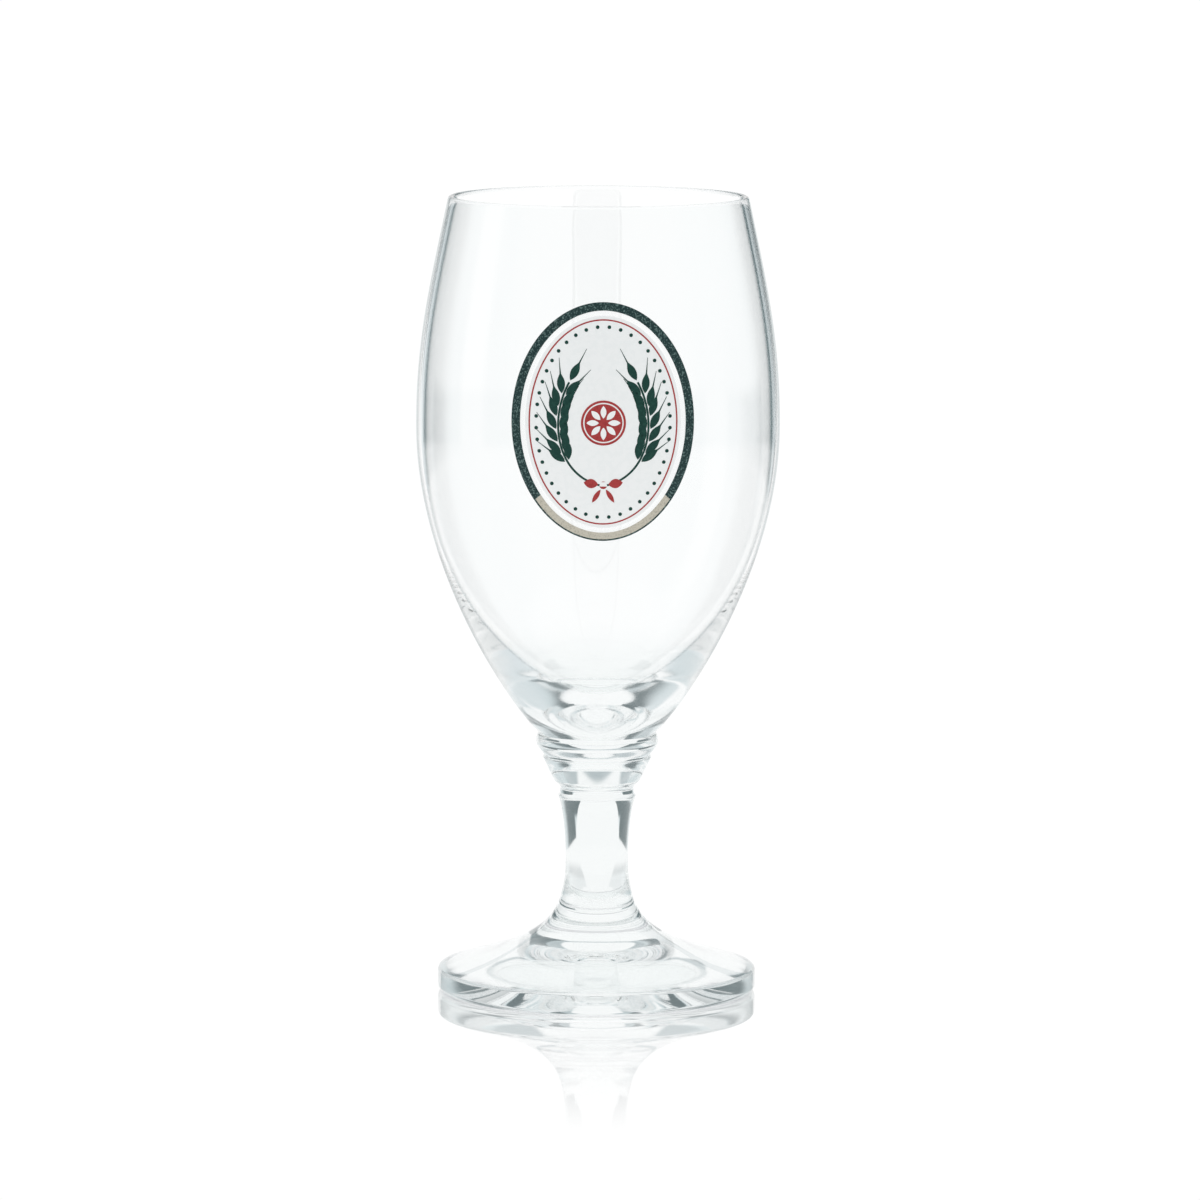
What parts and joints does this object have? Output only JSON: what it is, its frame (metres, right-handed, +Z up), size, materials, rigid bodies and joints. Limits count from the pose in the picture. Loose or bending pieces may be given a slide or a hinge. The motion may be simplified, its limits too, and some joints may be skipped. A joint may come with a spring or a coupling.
{
  "type": "stemmed pilsner glass",
  "caption": "Stemmed tulip-shaped beer glass with a thick bottom, a two-tier neck, a drawn stem, a thick-edged foot and an oval print on the front.",
  "frame": {"origin": "on the glass's axis, in the plane that the foot stands on", "axes": "+Z up along the axis of the glass, -Y towards the viewer, where the print is, +X to the viewer's right"},
  "size_m": [0.0796, 0.0798, 0.175],
  "materials": {
    "clear_glass": "clear, polished, with a faint cool tint where it is thick",
    "pale_enamel": "fired enamel ink, satin, very pale grey",
    "green_enamel": "fired enamel ink, satin, dark green with fine paler specks",
    "silver_lustre": "fired metallic lustre, silver with a warm cast",
    "red_enamel": "fired enamel ink, satin, brick red"
  },
  "bodies": {
    "root": {"bowl": "clear_glass", "collar": "clear_glass", "knop": "clear_glass", "stem": "clear_glass", "foot": "clear_glass", "print_ground": "pale_enamel", "print_border": "green_enamel", "print_silver": "silver_lustre", "print_hairline": "red_enamel", "print_beads": "green_enamel", "print_ears": "green_enamel", "print_rosette": "red_enamel", "print_tie": "red_enamel"}
  },
  "joints": []
}
